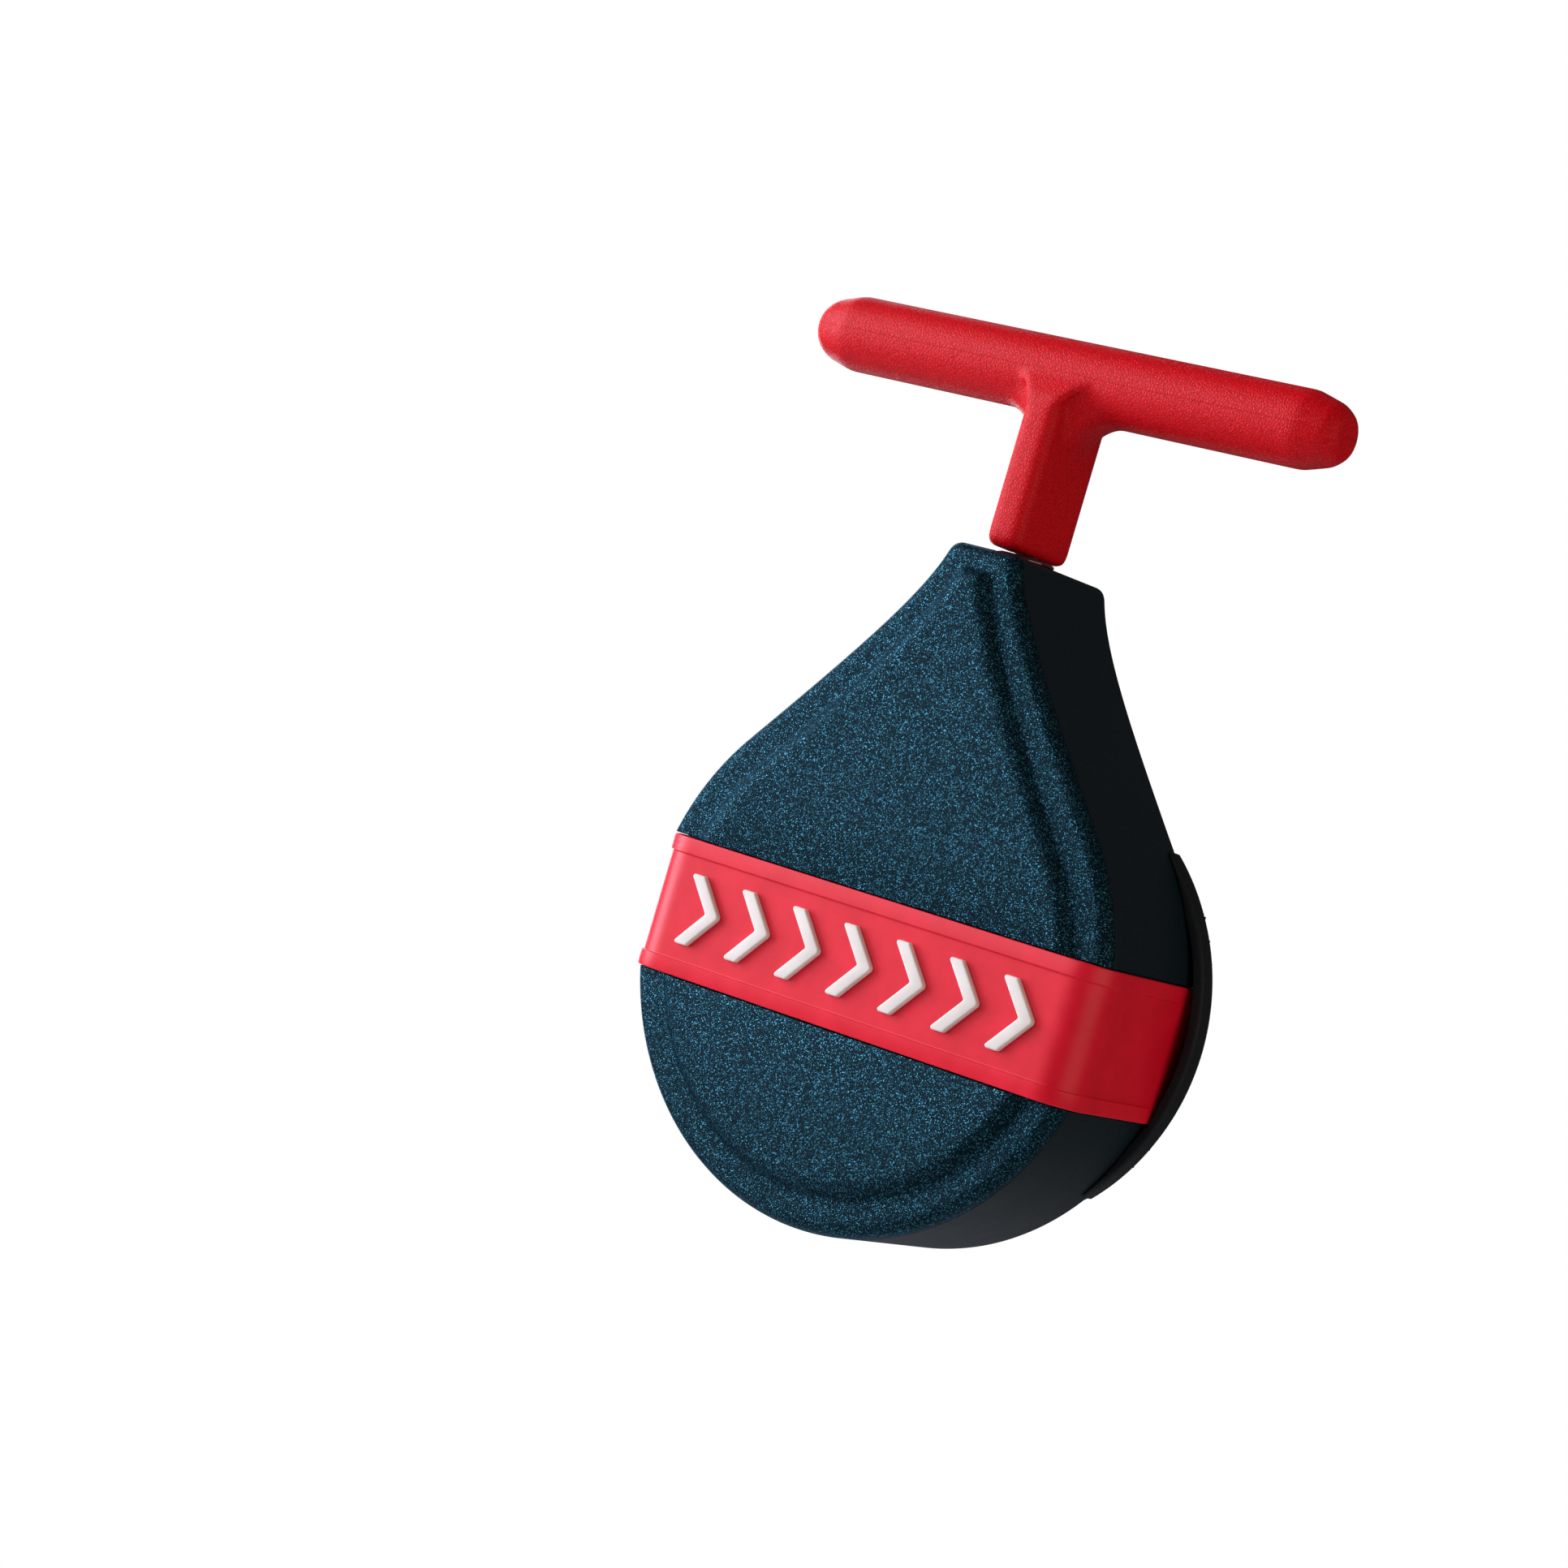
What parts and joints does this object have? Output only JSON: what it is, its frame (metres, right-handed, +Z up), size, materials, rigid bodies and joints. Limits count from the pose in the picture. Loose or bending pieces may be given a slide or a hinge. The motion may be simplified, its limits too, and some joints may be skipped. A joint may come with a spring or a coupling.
{
  "type": "retractable tow reel",
  "caption": "Drop-shaped hand-sized tow reel with a sprung cord spool, a T-shaped pull handle on its neck, a wide rubber strap and a tube cradle on its back.",
  "frame": {"origin": "middle of the flat channel floor on the back of the cradle, at the height of the spool axis", "axes": "+Z up along the pull axis, towards the T-handle; +Y out of the back of the case, away from the front cover; +X to the right seen from the front"},
  "size_m": [0.1032, 0.0444, 0.1526],
  "materials": {
    "cover_plastic": "dark petrol-blue moulded plastic, satin, with fine mica sparkle",
    "housing_plastic": "blue-black moulded plastic with a fine spark-eroded grain",
    "cradle_rubber": "dark moulded rubber, matt",
    "strap_rubber": "red moulded rubber, satin",
    "mark_rubber": "off-white moulded rubber, satin",
    "grip_plastic": "red soft-touch plastic with a fine leather grain",
    "gloss_plastic": "dark polished plastic",
    "cord_fibre": "dark braided polymer cord",
    "inner_plastic": "grey-black moulded plastic",
    "steel": "zinc-plated steel",
    "spring_steel": "blued spring steel",
    "brass": "turned brass"
  },
  "bodies": {
    "case": {"front_cover": "cover_plastic", "rear_housing": "housing_plastic", "case_screw_1": "steel", "case_screw_2": "steel", "case_screw_3": "steel", "case_screw_4": "steel", "case_screw_5": "steel", "case_screw_6": "steel", "cradle": "cradle_rubber", "cradle_screw_1": "steel", "cradle_screw_2": "steel", "strap": "strap_rubber", "strap_pin": "steel", "strap_knob": "inner_plastic", "strap_mark_1": "mark_rubber", "strap_mark_2": "mark_rubber", "strap_mark_3": "mark_rubber", "strap_mark_4": "mark_rubber", "strap_mark_5": "mark_rubber", "strap_mark_6": "mark_rubber", "strap_mark_7": "mark_rubber", "outlet_eyelet": "gloss_plastic", "cord_lead": "cord_fibre", "cord_span": "cord_fibre", "axle": "steel", "spring_arbor": "steel", "mainspring": "spring_steel"},
    "spool": {"spool": "inner_plastic", "spool_cheek": "inner_plastic", "spool_bushing": "brass", "spring_cover": "inner_plastic", "cord_winding": "cord_fibre"},
    "cord_end": {"cord_tail": "cord_fibre", "cord_ferrule": "brass"},
    "handle": {"handle_grip": "grip_plastic", "stem_collar": "gloss_plastic"}
  },
  "joints": [
    {"name": "handle_pull", "type": "slide", "parent": "case", "child": "cord_end", "axis": [0, 0, 1], "range_m": [0, 2.6], "stiffness_N_per_m": 4, "springref_m": -1, "deforming": ["cord_span"]},
    {"name": "handle_swivel", "type": "hinge", "parent": "cord_end", "child": "handle", "pos_m": [0, -0.0204, 0.0795], "axis": [0, 0, 1], "continuous": true},
    {"name": "spool_spin", "type": "hinge", "parent": "case", "child": "spool", "pos_m": [0, -0.0204, 0], "axis": [0, -1, 0], "range_deg": [0, 6090]}
  ],
  "couplings": [
    {"joint": "spool_spin", "follows": "handle_pull", "rad_per_m": 40.8}
  ]
}
